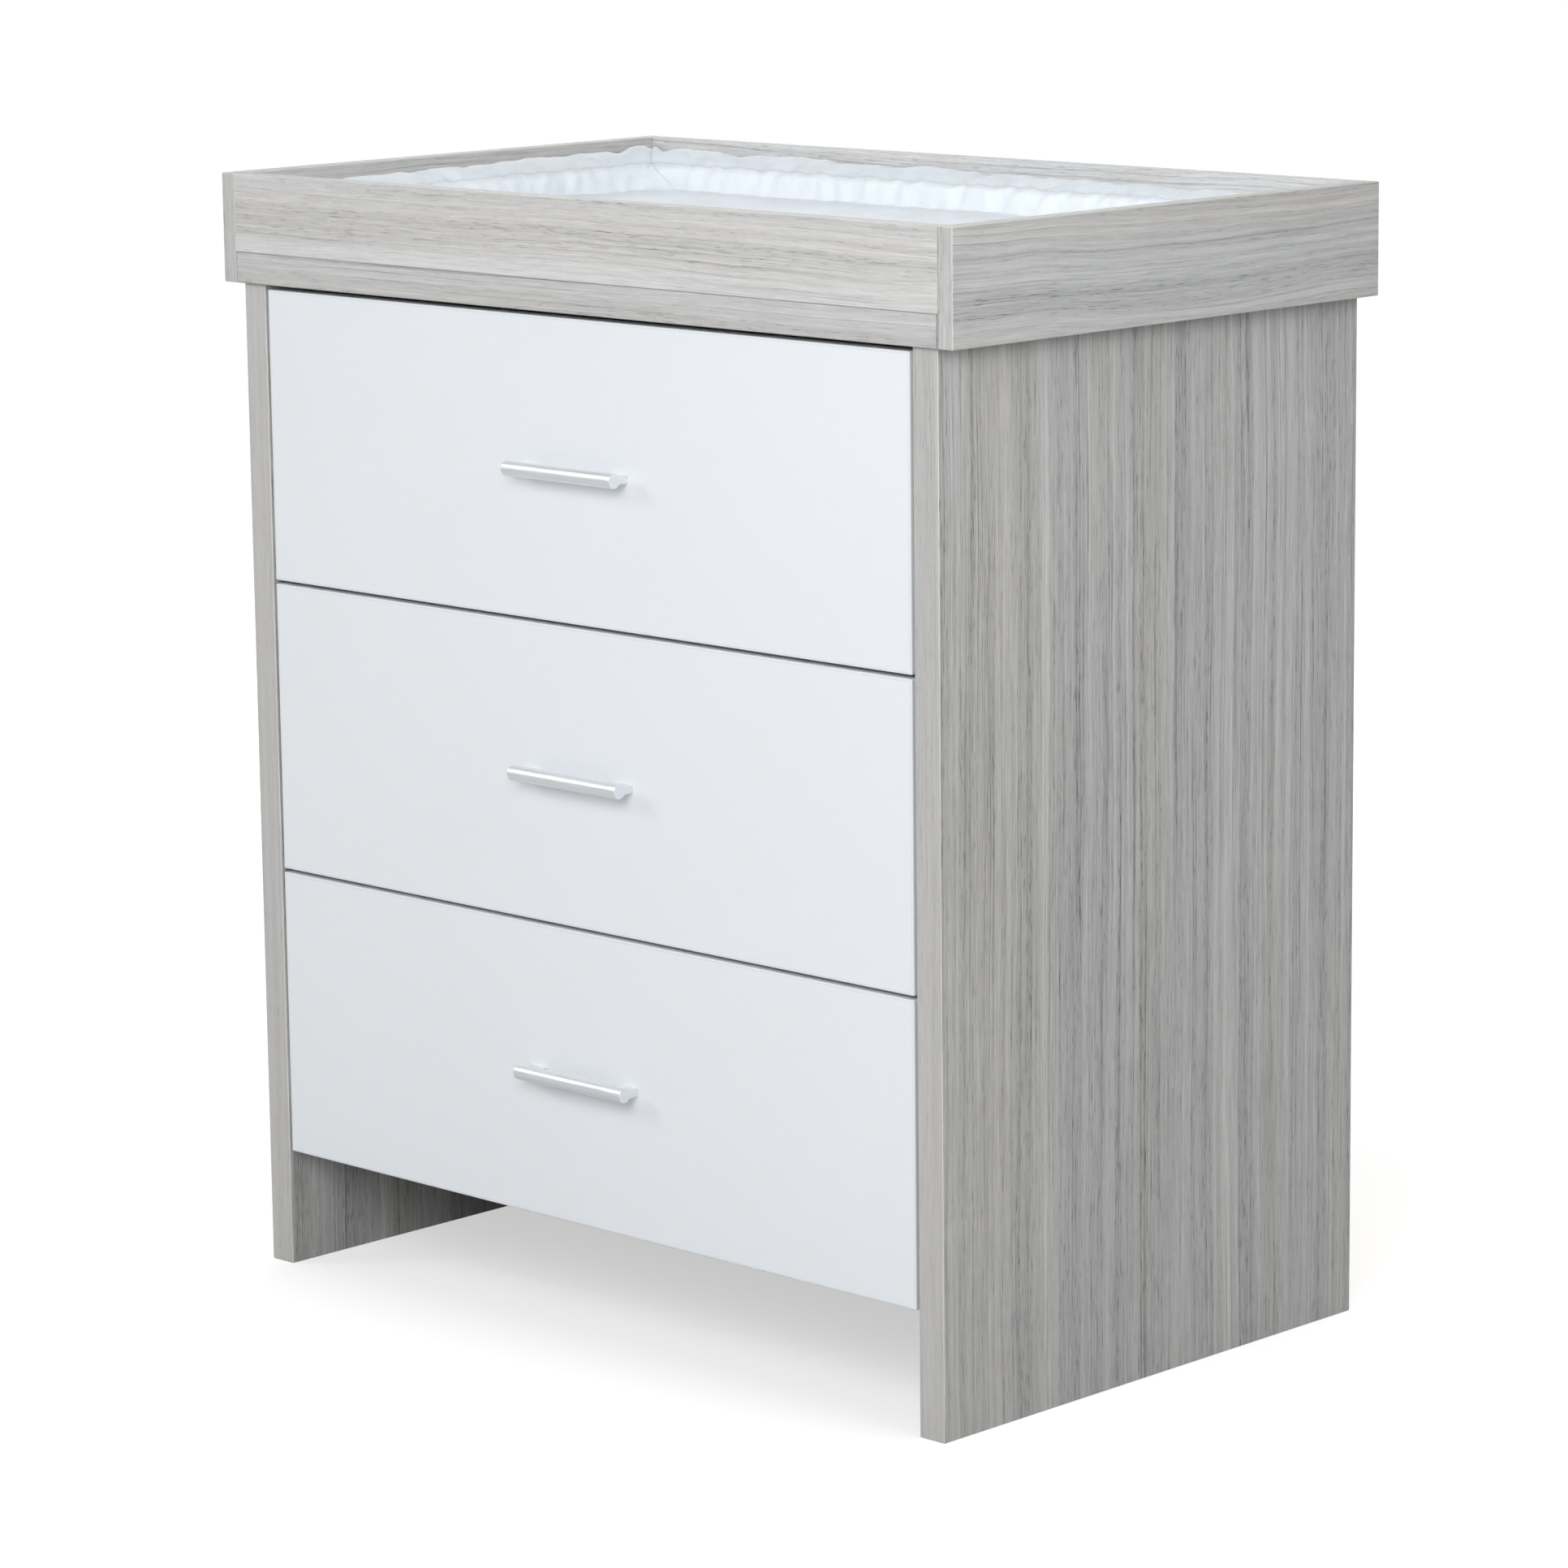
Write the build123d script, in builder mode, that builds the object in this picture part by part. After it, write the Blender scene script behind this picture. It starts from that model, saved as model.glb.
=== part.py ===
from build123d import *
import os

# A changing table: a chest of three drawers whose top carries a lift-off tray with a padded mat.
# Millimetres, +Z up, front towards -Y, "left" is -X as seen from the front. The origin is on the
# floor, under the middle of the overall width and of the overall depth.

os.makedirs("parts", exist_ok=True)

# ---- Driving dimensions -------------------------------------------------------------------------

overall_width = 800
overall_depth = 500
overall_height = 903

handle_projection = 20
front_y = handle_projection - overall_depth / 2
tray_front_y = front_y - 5
tray_back_y = overall_depth / 2
tray_half_width = overall_width / 2

panel_board = 25
panel_depth = 478
panel_height = 815
panel_outer_x = 381
panel_inner_x = panel_outer_x - panel_board
panel_back_y = front_y + panel_depth
edge_radius = 1

tray_board = 15
tray_inner_x = tray_half_width - tray_board
top_panel_gap = 0.5
top_panel_x = tray_inner_x - top_panel_gap
top_surface_z = panel_height + panel_board

base_board = 15
base_z = 100
back_sheet = 3
back_sheet_y = front_y + 464
back_sheet_bottom = 5
groove_depth = 6
groove_play = 0.2

front_board = 16
front_height = 236
front_gap = 3
front_half_width = panel_inner_x - front_gap
front_bottoms = {"top": 575, "middle": 336, "bottom": 97}
front_edge_radius = 1.2

box_board = 12
box_height = 160
box_length = 410
box_rise = 22
box_outer_x = panel_inner_x - 12.5
box_inner_x = box_outer_x - box_board
box_front_y = front_y + front_board
box_back_y = box_front_y + box_length
bottom_sheet = 3
bottom_rise = 10

runner_length = 400
runner_front_y = front_y + 22
runner_rise = box_rise + box_height / 2
runner_steel = 1.2
drawer_travel = 290
cage_steel = 0.5
cage_length = runner_length - drawer_travel - 10
ball_radius = 1.78
ball_inset = 7.25
ball_height = 14.5
ball_pitch = 16
balls_per_row = 6
runner_screw_steps = (40, 200, 360)

handle_length = 120
handle_radius = 6
handle_neck = 6.3
handle_foot = 18
handle_waist_radius = 1.6
handle_screw_spacing = 96

bolt_reach = 34
bolt_thread = 11
bolt_head_radius = 3.2
bolt_bore_radius = 4
bolt_end_bore_radius = 3.3
bolt_thread_bore_radius = 3
cam_radius = 7.5
panel_cam_height = 16
board_cam_height = 12
small_bolt_reach = 24
small_bolt_head_radius = 2.4
small_bolt_bore_radius = 2.6
small_thread_bore_radius = 2.3
small_cam_radius = 6
small_cam_height = 9.5
dowel_radius = 4
dowel_length = 30
small_dowel_radius = 3
small_dowel_length = 24
runner_screw_radius = 1.7
runner_screw_length = 11.5
handle_screw_radius = 2
handle_screw_depth = 9
pin_radius = 0.7
bore_play = 0.05
bore_end_gap = 1
cam_seat_gap = 0.2

mat_gap = 2.5
mat_lift = 0.3
mat_base = 22
mat_side = 50
mat_side_width = 56
mat_slope = 6
mat_radius = 9

sides = {"left": -1, "right": 1}
ends = {"front": -1, "back": 1}


# ---- Helpers ------------------------------------------------------------------------------------

def block(x, y, z, mode=Mode.ADD):
    """A box from one value to another along each axis, in the part being built."""
    with Locations(((x[0] + x[1]) / 2, (y[0] + y[1]) / 2, (z[0] + z[1]) / 2)):
        Box(abs(x[1] - x[0]), abs(y[1] - y[0]), abs(z[1] - z[0]), mode=mode)


def board(x, y, z, radius=edge_radius):
    """A board with softly rounded edges."""
    block(x, y, z)
    fillet(edges(), radius)


def drill(plane, spots, radius, amount):
    """Round holes sunk from a plane: along its normal, or against it where amount is negative."""
    with BuildSketch(plane) as mouths:
        with Locations(*spots):
            Circle(radius)
    extrude(mouths.sketch, amount=amount, mode=Mode.SUBTRACT)


def bend_sheet(points, bend_radius, thickness, plane, length):
    """A bent strip: the middle line of its section, given thickness and drawn out to its length."""
    with BuildSketch(plane) as section:
        with BuildLine():
            FilletPolyline(*points, radius=bend_radius)
        trace(line_width=thickness)
    extrude(section.sketch, amount=length)


def place(piece, spots):
    """Copies of a finished piece as separate solids of the part being built."""
    with Locations(*spots):
        add(piece, clean=False)


def save(piece, name):
    """Names a finished piece and writes it."""
    piece.part.label = name
    export_step(piece.part, f"parts/{name}.step")


# ---- Fasteners, each made once about its own origin -----------------------------------------------

def make_screw(head_radius, head_height, shank_radius, shank_length):
    """A pan-head screw: the head stands on z = 0 and the pointed shank goes down."""
    recess = head_radius * 1.1
    slot = head_radius * 0.25
    tip = shank_radius * 1.5
    with BuildPart() as screw:
        with BuildSketch(Plane.XZ):
            with BuildLine():
                Polyline(
                    (0, -shank_length),
                    (shank_radius * 0.3, -shank_length),
                    (shank_radius, tip - shank_length),
                    (shank_radius, 0),
                    (head_radius, 0),
                    (head_radius, head_height * 0.5),
                    (head_radius * 0.7, head_height),
                    (0, head_height),
                    close=True,
                )
            make_face()
        revolve(axis=Axis.Z)
        with Locations((0, 0, head_height)):
            Box(recess, slot, head_height * 0.8, mode=Mode.SUBTRACT)
            Box(slot, recess, head_height * 0.8, mode=Mode.SUBTRACT)
    return screw.part


def make_cam_bolt(reach, head_radius):
    """A cam bolt through a joint at z = 0: thread below, shank and head above, head at the reach."""
    shank_radius = head_radius * 0.75
    neck_radius = head_radius * 0.5
    with BuildPart() as bolt:
        with BuildSketch(Plane.XZ):
            with BuildLine():
                Polyline(
                    (0, -bolt_thread),
                    (head_radius * 0.6, -bolt_thread),
                    (head_radius * 0.9, 2 - bolt_thread),
                    (head_radius * 0.9, 0),
                    (shank_radius, 0),
                    (shank_radius, reach - 5),
                    (neck_radius, reach - 4),
                    (neck_radius, reach - 1),
                    (head_radius, reach),
                    (head_radius * 0.8, reach + 1.5),
                    (0, reach + 1.5),
                    close=True,
                )
            make_face()
        revolve(axis=Axis.Z)
    return bolt.part


def make_cam_lock(radius, height, axis_depth, head_radius):
    """A cam disc sunk below z = 0, with the mouth for its bolt towards +X at the axis depth."""
    with BuildPart() as lock:
        with Locations((0, 0, -height / 2)):
            Cylinder(radius - 0.1, height)
        with Locations((radius / 2 - 1, 0, -axis_depth)):
            Cylinder(head_radius + 0.2, radius + 2, rotation=(0, 90, 0), mode=Mode.SUBTRACT)
        Box(radius, 1.4, 3, mode=Mode.SUBTRACT)
        Box(1.4, radius, 3, mode=Mode.SUBTRACT)
    return lock.part


def make_dowel(radius, length):
    """A wooden dowel along Z about its middle, with bevelled ends."""
    with BuildPart() as dowel:
        Cylinder(radius - 0.05, length)
        chamfer(dowel.edges().filter_by(GeomType.CIRCLE), 0.8)
    return dowel.part


def make_pin():
    """A flat-headed pin for a thin sheet: head on z = 0, shank down."""
    with BuildPart() as pin:
        with Locations((0, 0, 0.3)):
            Cylinder(1.5, 0.6)
        with Locations((0, 0, -7.5)):
            Cylinder(pin_radius, 15)
    return pin.part


cam_bolt = make_cam_bolt(bolt_reach, bolt_head_radius)
small_cam_bolt = make_cam_bolt(small_bolt_reach, small_bolt_head_radius)
panel_cam = make_cam_lock(cam_radius, panel_cam_height, panel_board / 2, bolt_head_radius)
board_cam = make_cam_lock(cam_radius, board_cam_height, base_board / 2, bolt_head_radius)
box_cam = make_cam_lock(small_cam_radius, small_cam_height, box_board / 2, small_bolt_head_radius)
tray_cam = make_cam_lock(cam_radius, board_cam_height, tray_board / 2, small_bolt_head_radius)
dowel = make_dowel(dowel_radius, dowel_length)
small_dowel = make_dowel(small_dowel_radius, small_dowel_length)
runner_screw = make_screw(3.2, 1.3, runner_screw_radius, runner_screw_length)
handle_screw = make_screw(4, 2.6, handle_screw_radius, front_board + handle_screw_depth - 3)
sheet_pin = make_pin()

# ---- Where the carcass fasteners go ---------------------------------------------------------------

panel_middle_x = panel_outer_x - panel_board / 2
top_bolt_ys = (front_y + 60, front_y + 410)
top_dowel_ys = (front_y + 120, front_y + 350)
top_cam_z = panel_height - bolt_reach
base_middle_z = base_z + base_board / 2
base_bolt_ys = (front_y + 70, front_y + 400)
base_dowel_ys = (front_y + 130, front_y + 340)
dowel_bore = dowel_length / 2 + bore_end_gap
thread_bore = bolt_thread + bore_end_gap
runner_heights = [bottom + runner_rise for bottom in front_bottoms.values()]
runner_screw_ys = [runner_front_y + step for step in runner_screw_steps]

# ---- Carcass --------------------------------------------------------------------------------------

for side_name, side in sides.items():
    inner_x = side * panel_inner_x
    with BuildPart() as side_panel:
        board((inner_x, side * panel_outer_x), (front_y, panel_back_y), (0, panel_height))
        block(
            (inner_x, inner_x + side * groove_depth),
            (back_sheet_y, back_sheet_y + back_sheet + groove_play),
            (0, panel_height),
            mode=Mode.SUBTRACT,
        )
        inner_face = Plane.YZ.offset(inner_x)
        top_edge = Plane.XY.offset(panel_height)
        cam_bore = side * (panel_cam_height + cam_seat_gap)
        drill(inner_face, [(y, top_cam_z) for y in top_bolt_ys], cam_radius, cam_bore)
        bolt_spots = [(side * panel_middle_x, y) for y in top_bolt_ys]
        drill(top_edge, bolt_spots, bolt_bore_radius, -bolt_reach)
        dowel_spots = [(side * panel_middle_x, y) for y in top_dowel_ys]
        drill(top_edge, dowel_spots, dowel_radius, -dowel_bore)
        bolt_spots = [(y, base_middle_z) for y in base_bolt_ys]
        drill(inner_face, bolt_spots, bolt_thread_bore_radius, side * thread_bore)
        dowel_spots = [(y, base_middle_z) for y in base_dowel_ys]
        drill(inner_face, dowel_spots, dowel_radius, side * dowel_bore)
        screw_spots = [(y, z) for y in runner_screw_ys for z in runner_heights]
        drill(inner_face, screw_spots, runner_screw_radius + bore_play, side * runner_screw_length)
    save(side_panel, f"side_panel_{side_name}")

with BuildPart() as top_panel:
    board((-top_panel_x, top_panel_x), (tray_front_y, tray_back_y), (panel_height, top_surface_z))
    block(
        (-panel_inner_x - groove_depth, panel_inner_x + groove_depth),
        (back_sheet_y, back_sheet_y + back_sheet + groove_play),
        (panel_height, panel_height + groove_depth),
        mode=Mode.SUBTRACT,
    )
    underside = Plane.XY.offset(panel_height)
    joints_x = (-panel_middle_x, panel_middle_x)
    bolt_spots = [(x, y) for x in joints_x for y in top_bolt_ys]
    drill(underside, bolt_spots, bolt_thread_bore_radius, thread_bore)
    dowel_spots = [(x, y) for x in joints_x for y in top_dowel_ys]
    drill(underside, dowel_spots, dowel_radius, dowel_bore)
save(top_panel, "top_panel")

with BuildPart() as base_panel:
    board(
        (-panel_inner_x, panel_inner_x),
        (box_front_y + 2, back_sheet_y),
        (base_z, base_z + base_board),
    )
    base_cams_x = panel_inner_x - bolt_reach
    underside = Plane.XY.offset(base_z)
    cam_spots = [(side * base_cams_x, y) for side in sides.values() for y in base_bolt_ys]
    drill(underside, cam_spots, cam_radius, board_cam_height + cam_seat_gap)
    for side in sides.values():
        end = Plane.YZ.offset(side * panel_inner_x)
        bolt_spots = [(y, base_middle_z) for y in base_bolt_ys]
        drill(end, bolt_spots, bolt_end_bore_radius, -side * bolt_reach)
        dowel_spots = [(y, base_middle_z) for y in base_dowel_ys]
        drill(end, dowel_spots, dowel_radius, -side * dowel_bore)
    pin_xs = [-300 + 100 * step for step in range(7)]
    pin_mouths = Plane.XZ.offset(-back_sheet_y)
    drill(pin_mouths, [(x, base_middle_z) for x in pin_xs], pin_radius + bore_play, 13)
save(base_panel, "base_panel")

with BuildPart() as back_panel:
    back_reach_x = panel_inner_x + groove_depth - groove_play
    block(
        (-back_reach_x, back_reach_x),
        (back_sheet_y, back_sheet_y + back_sheet),
        (back_sheet_bottom, panel_height + groove_depth - groove_play),
    )
    drill(pin_mouths, [(x, base_middle_z) for x in pin_xs], pin_radius + bore_play, -back_sheet)
save(back_panel, "back_panel")

with BuildPart() as carcass_cam_bolts:
    for side in sides.values():
        joint_x = side * panel_middle_x
        place(cam_bolt, [Plane((joint_x, y, panel_height), z_dir=(0, 0, -1)) for y in top_bolt_ys])
        joint_x = side * panel_inner_x
        place(cam_bolt, [Plane((joint_x, y, base_middle_z), z_dir=(-side, 0, 0)) for y in base_bolt_ys])
save(carcass_cam_bolts, "carcass_cam_bolts")

with BuildPart() as carcass_cam_locks:
    for side in sides.values():
        for y in top_bolt_ys:
            seat = Plane((side * panel_inner_x, y, top_cam_z), x_dir=(0, 0, 1), z_dir=(-side, 0, 0))
            place(panel_cam, [seat])
        for y in base_bolt_ys:
            seat = Plane((side * base_cams_x, y, base_z), x_dir=(side, 0, 0), z_dir=(0, 0, -1))
            place(board_cam, [seat])
save(carcass_cam_locks, "carcass_cam_locks")

with BuildPart() as carcass_dowels:
    for side in sides.values():
        place(dowel, [(side * panel_middle_x, y, panel_height) for y in top_dowel_ys])
        joint_x = side * panel_inner_x
        place(dowel, [Plane((joint_x, y, base_middle_z), z_dir=(1, 0, 0)) for y in base_dowel_ys])
save(carcass_dowels, "carcass_dowels")

with BuildPart() as back_panel_pins:
    sheet_back_y = back_sheet_y + back_sheet
    place(sheet_pin, [Plane((x, sheet_back_y, base_middle_z), z_dir=(0, 1, 0)) for x in pin_xs])
save(back_panel_pins, "back_panel_pins")

# ---- Runners: everything is measured inwards from the side panel's inner face ------------------------

def runner_plane(side, height, y):
    """The section plane of one runner: its X runs inwards from the panel, its normal back or front."""
    return Plane((side * panel_inner_x, y, height), x_dir=(-side, 0, 0), z_dir=(0, side, 0))


outer_section = [(9.9, 15.3), (9.9, 16.9), (0.6, 16.9), (0.6, -16.9), (9.9, -16.9), (9.9, -15.3)]
inner_section = [(4.6, 13.6), (4.6, 12.1), (11.9, 12.1), (11.9, -12.1), (4.6, -12.1), (4.6, -13.6)]
cage_section = [(10.2, 14.5), (3.25, 14.5), (3.25, -14.5), (10.2, -14.5)]
inner_web_face = box_outer_x + runner_steel
cage_front_y = runner_front_y + (runner_length - cage_length) / 2
ball_ys = [
    cage_front_y + cage_length / 2 + ball_pitch * (step - (balls_per_row - 1) / 2)
    for step in range(balls_per_row)
]

for side_name, side in sides.items():
    web_x = side * (panel_inner_x - runner_steel)
    with BuildPart() as outer_runners:
        for height in runner_heights:
            section = runner_plane(side, height, runner_front_y)
            bend_sheet(outer_section, 1, runner_steel, section, side * runner_length)
            stop_y = runner_front_y + runner_length
            block(
                (web_x, web_x - side * 7),
                (stop_y - runner_steel, stop_y),
                (height - 8, height + 8),
            )
        drill(
            Plane.YZ.offset(web_x),
            [(y, z) for y in runner_screw_ys for z in runner_heights],
            runner_screw_radius + bore_play,
            side * runner_steel,
        )
    save(outer_runners, f"outer_runners_{side_name}")

with BuildPart() as outer_runner_screws:
    for side in sides.values():
        web_x = side * (panel_inner_x - runner_steel)
        for height in runner_heights:
            place(runner_screw, [Plane((web_x, y, height), z_dir=(-side, 0, 0)) for y in runner_screw_ys])
save(outer_runner_screws, "outer_runner_screws")

# ---- Drawers ----------------------------------------------------------------------------------------

cam_offsets = (-55, 55)
handle_xs = (-handle_screw_spacing / 2, handle_screw_spacing / 2)
box_middle_x = box_outer_x - box_board / 2
box_rear_face_y = box_back_y - 6
box_rear_inner_y = box_rear_face_y - box_board
box_rear_middle_y = box_rear_face_y - box_board / 2
rear_cam_x = box_inner_x - small_bolt_reach
front_cam_y = box_front_y + small_bolt_reach
box_cam_bore = small_cam_height + cam_seat_gap
handle_bore_radius = handle_screw_radius + bore_play

for level, front_bottom in front_bottoms.items():
    box_bottom = front_bottom + box_rise
    box_top = box_bottom + box_height
    runner_z = front_bottom + runner_rise
    handle_z = front_bottom + front_height / 2
    groove_z = (box_bottom + bottom_rise, box_bottom + bottom_rise + bottom_sheet + groove_play)
    cam_heights = [runner_z + offset for offset in cam_offsets]

    with BuildPart() as drawer_front:
        board(
            (-front_half_width, front_half_width),
            (front_y, box_front_y),
            (front_bottom, front_bottom + front_height),
            front_edge_radius,
        )
        block(
            (-box_inner_x - groove_depth, box_inner_x + groove_depth),
            (box_front_y - groove_depth, box_front_y),
            groove_z,
            mode=Mode.SUBTRACT,
        )
        rear_face = Plane.XZ.offset(-box_front_y)
        joint_spots = [(side * box_middle_x, z) for side in sides.values() for z in cam_heights]
        drill(rear_face, joint_spots, small_thread_bore_radius, thread_bore)
        drill(rear_face, [(x, handle_z) for x in handle_xs], handle_bore_radius, front_board)
    save(drawer_front, f"drawer_{level}_front")

    for side_name, side in sides.items():
        with BuildPart() as drawer_side:
            board(
                (side * box_inner_x, side * box_outer_x),
                (box_front_y, box_back_y),
                (box_bottom, box_top),
                0.6,
            )
            block(
                (side * box_inner_x, side * (box_inner_x + groove_depth)),
                (box_front_y, box_rear_face_y),
                groove_z,
                mode=Mode.SUBTRACT,
            )
            outer_face = Plane.YZ.offset(side * box_outer_x)
            inner_face = Plane.YZ.offset(side * box_inner_x)
            cam_spots = [(front_cam_y, z) for z in cam_heights]
            drill(outer_face, cam_spots, small_cam_radius, -side * box_cam_bore)
            front_end = Plane.XZ.offset(-box_front_y)
            shank_spots = [(side * box_middle_x, z) for z in cam_heights]
            drill(front_end, shank_spots, small_bolt_bore_radius, -small_bolt_reach)
            thread_spots = [(box_rear_middle_y, z) for z in cam_heights]
            drill(inner_face, thread_spots, small_thread_bore_radius, side * (bolt_thread + 0.4))
            screw_spots = [(y, runner_z) for y in runner_screw_ys]
            drill(outer_face, screw_spots, runner_screw_radius + bore_play, side * -10.8)
        save(drawer_side, f"drawer_{level}_side_{side_name}")

    with BuildPart() as drawer_back:
        board((-box_inner_x, box_inner_x), (box_rear_inner_y, box_rear_face_y), (box_bottom, box_top), 0.6)
        block(
            (-box_inner_x, box_inner_x),
            (box_rear_inner_y, box_rear_inner_y + groove_depth),
            groove_z,
            mode=Mode.SUBTRACT,
        )
        rear_face = Plane.XZ.offset(-box_rear_face_y)
        cam_spots = [(side * rear_cam_x, z) for side in sides.values() for z in cam_heights]
        drill(rear_face, cam_spots, small_cam_radius, box_cam_bore)
        for side in sides.values():
            end = Plane.YZ.offset(side * box_inner_x)
            spots = [(box_rear_middle_y, z) for z in cam_heights]
            drill(end, spots, small_bolt_bore_radius, -side * small_bolt_reach)
    save(drawer_back, f"drawer_{level}_back")

    with BuildPart() as drawer_bottom:
        bottom_reach_x = box_inner_x + groove_depth - groove_play
        block(
            (-bottom_reach_x, bottom_reach_x),
            (box_front_y - groove_depth + groove_play, box_rear_inner_y + groove_depth - groove_play),
            (groove_z[0], groove_z[0] + bottom_sheet),
        )
    save(drawer_bottom, f"drawer_{level}_bottom")

    with BuildPart() as drawer_cam_bolts:
        for side in sides.values():
            front_x = side * box_middle_x
            place(small_cam_bolt, [Plane((front_x, box_front_y, z), z_dir=(0, 1, 0)) for z in cam_heights])
            rear_x = side * box_inner_x
            rear_spots = [(rear_x, box_rear_middle_y, z) for z in cam_heights]
            place(small_cam_bolt, [Plane(spot, z_dir=(-side, 0, 0)) for spot in rear_spots])
    save(drawer_cam_bolts, f"drawer_{level}_cam_bolts")

    with BuildPart() as drawer_cam_locks:
        for side in sides.values():
            for z in cam_heights:
                front_seat = Plane(
                    (side * box_outer_x, front_cam_y, z), x_dir=(0, -1, 0), z_dir=(side, 0, 0)
                )
                rear_seat = Plane(
                    (side * rear_cam_x, box_rear_face_y, z), x_dir=(side, 0, 0), z_dir=(0, 1, 0)
                )
                place(box_cam, [front_seat, rear_seat])
    save(drawer_cam_locks, f"drawer_{level}_cam_locks")

    with BuildPart() as handle:
        with BuildSketch(Plane.YZ.offset(-handle_length / 2)) as handle_profile:
            with Locations((front_y - handle_projection + handle_radius, handle_z)):
                Circle(handle_radius)
            with Locations((front_y - 5, handle_z)):
                Rectangle(10, handle_neck)
            fillet(handle_profile.vertices().sort_by(Axis.X)[:2], handle_waist_radius)
        extrude(amount=handle_length)
        finger_x = handle_length / 2 - handle_foot
        finger_y = front_y - handle_projection + 2 * handle_radius
        with BuildSketch(Plane.XY.offset(handle_z - handle_neck)):
            with Locations((0, finger_y + 10)):
                RectangleRounded(2 * finger_x, 20, 3)
        extrude(amount=2 * handle_neck, mode=Mode.SUBTRACT)
        fillet(handle.faces().sort_by(Axis.X)[0].edges(), 0.4)
        fillet(handle.faces().sort_by(Axis.X)[-1].edges(), 0.4)
        foot_face = Plane.XZ.offset(-front_y)
        drill(foot_face, [(x, handle_z) for x in handle_xs], handle_bore_radius, handle_screw_depth)
    save(handle, f"handle_{level}")

    with BuildPart() as handle_screws:
        place(handle_screw, [Plane((x, box_front_y, handle_z), z_dir=(0, 1, 0)) for x in handle_xs])
    save(handle_screws, f"handle_{level}_screws")

    for side_name, side in sides.items():
        with BuildPart() as inner_runner:
            section = runner_plane(side, runner_z, runner_front_y)
            bend_sheet(inner_section, 1, runner_steel, section, side * (runner_length - 2))
            web = Plane.YZ.offset(side * inner_web_face)
            screw_spots = [(y, runner_z) for y in runner_screw_ys]
            drill(web, screw_spots, runner_screw_radius + bore_play, -side * runner_steel)
        save(inner_runner, f"drawer_{level}_runner_{side_name}")

    with BuildPart() as runner_screws:
        for side in sides.values():
            web_x = side * inner_web_face
            place(runner_screw, [Plane((web_x, y, runner_z), z_dir=(side, 0, 0)) for y in runner_screw_ys])
    save(runner_screws, f"drawer_{level}_runner_screws")

    with BuildPart() as ball_cages:
        for side in sides.values():
            section = runner_plane(side, runner_z, cage_front_y)
            bend_sheet(cage_section, 1, cage_steel, section, side * cage_length)
            ball_x = side * (panel_inner_x - ball_inset)
            upper = Plane.XY.offset(runner_z + 2 * ball_height)
            drill(upper, [(ball_x, y) for y in ball_ys], ball_radius + 0.12, -4 * ball_height)
        for side in sides.values():
            ball_x = side * (panel_inner_x - ball_inset)
            for row in (-ball_height, ball_height):
                with Locations(*[(ball_x, y, runner_z + row) for y in ball_ys]):
                    Sphere(ball_radius)
    save(ball_cages, f"drawer_{level}_ball_cages")

# ---- Lift-off tray: four boards standing round the top panel ------------------------------------------

tray_bolt_z = (top_surface_z + overall_height) / 2
tray_dowel_zs = (tray_bolt_z - 20, tray_bolt_z + 20)
tray_dowel_grip = 10
tray_cam_x = tray_inner_x - small_bolt_reach
tray_middle_ys = (tray_front_y + tray_board / 2, tray_back_y - tray_board / 2)

for side_name, side in sides.items():
    with BuildPart() as tray_side:
        board(
            (side * tray_inner_x, side * tray_half_width),
            (tray_front_y, tray_back_y),
            (panel_height, overall_height),
        )
        inner_face = Plane.YZ.offset(side * tray_inner_x)
        bolt_spots = [(y, tray_bolt_z) for y in tray_middle_ys]
        drill(inner_face, bolt_spots, small_thread_bore_radius, side * thread_bore)
        dowel_spots = [(y, z) for y in tray_middle_ys for z in tray_dowel_zs]
        drill(inner_face, dowel_spots, small_dowel_radius, side * tray_dowel_grip)
    save(tray_side, f"tray_board_{side_name}")

for end_name, end in ends.items():
    middle_y = tray_middle_ys[0] if end < 0 else tray_middle_ys[1]
    inner_y = middle_y - end * tray_board / 2
    with BuildPart() as tray_end:
        board(
            (-tray_inner_x, tray_inner_x),
            (middle_y - tray_board / 2, middle_y + tray_board / 2),
            (top_surface_z, overall_height),
        )
        cam_spots = [(side * tray_cam_x, tray_bolt_z) for side in sides.values()]
        cam_bore = board_cam_height + cam_seat_gap
        drill(Plane.XZ.offset(-inner_y), cam_spots, cam_radius, -end * cam_bore)
        for side in sides.values():
            joint_face = Plane.YZ.offset(side * tray_inner_x)
            bolt_bore = -side * small_bolt_reach
            drill(joint_face, [(middle_y, tray_bolt_z)], small_bolt_bore_radius, bolt_bore)
            dowel_spots = [(middle_y, z) for z in tray_dowel_zs]
            dowel_bore = small_dowel_length - tray_dowel_grip + bore_end_gap
            drill(joint_face, dowel_spots, small_dowel_radius, -side * dowel_bore)
    save(tray_end, f"tray_board_{end_name}")

with BuildPart() as tray_cam_bolts:
    for side in sides.values():
        joint_x = side * tray_inner_x
        spots = [(joint_x, y, tray_bolt_z) for y in tray_middle_ys]
        place(small_cam_bolt, [Plane(spot, z_dir=(-side, 0, 0)) for spot in spots])
save(tray_cam_bolts, "tray_cam_bolts")

with BuildPart() as tray_cam_locks:
    for middle_y, end in zip(tray_middle_ys, ends.values()):
        for side in sides.values():
            seat_y = middle_y - end * tray_board / 2
            seat = Plane((side * tray_cam_x, seat_y, tray_bolt_z), x_dir=(side, 0, 0), z_dir=(0, -end, 0))
            place(tray_cam, [seat])
save(tray_cam_locks, "tray_cam_locks")

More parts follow.
